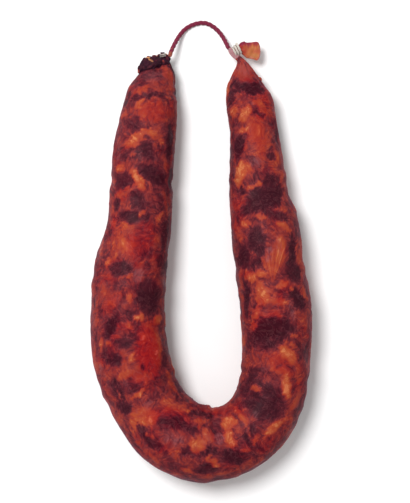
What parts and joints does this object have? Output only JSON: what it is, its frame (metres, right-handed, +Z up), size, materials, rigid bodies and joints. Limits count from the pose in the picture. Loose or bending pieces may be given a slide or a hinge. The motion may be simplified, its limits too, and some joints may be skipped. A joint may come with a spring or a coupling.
{
  "type": "cured sausage",
  "caption": "Horseshoe of dry-cured red sausage in natural casing, its gathered ends bound with twine and joined by a short crimson string, lying on its side.",
  "frame": {"origin": "middle of the sausage's outline seen from above, on the surface that it rests on", "axes": "+Z up out of the side that shows, +Y along the legs towards the bound ends, +X towards the leg with the flat stub"},
  "size_m": [0.1108, 0.2333, 0.0373],
  "materials": {
    "casing": "satin, mottled paprika red over dark lean and orange fat",
    "natural_twine": "matt cotton twine",
    "crimson_string": "matt twisted string"
  },
  "bodies": {
    "root": {"sausage": "casing", "left_twine": "natural_twine", "right_twine": "natural_twine", "string": "crimson_string"}
  },
  "joints": []
}
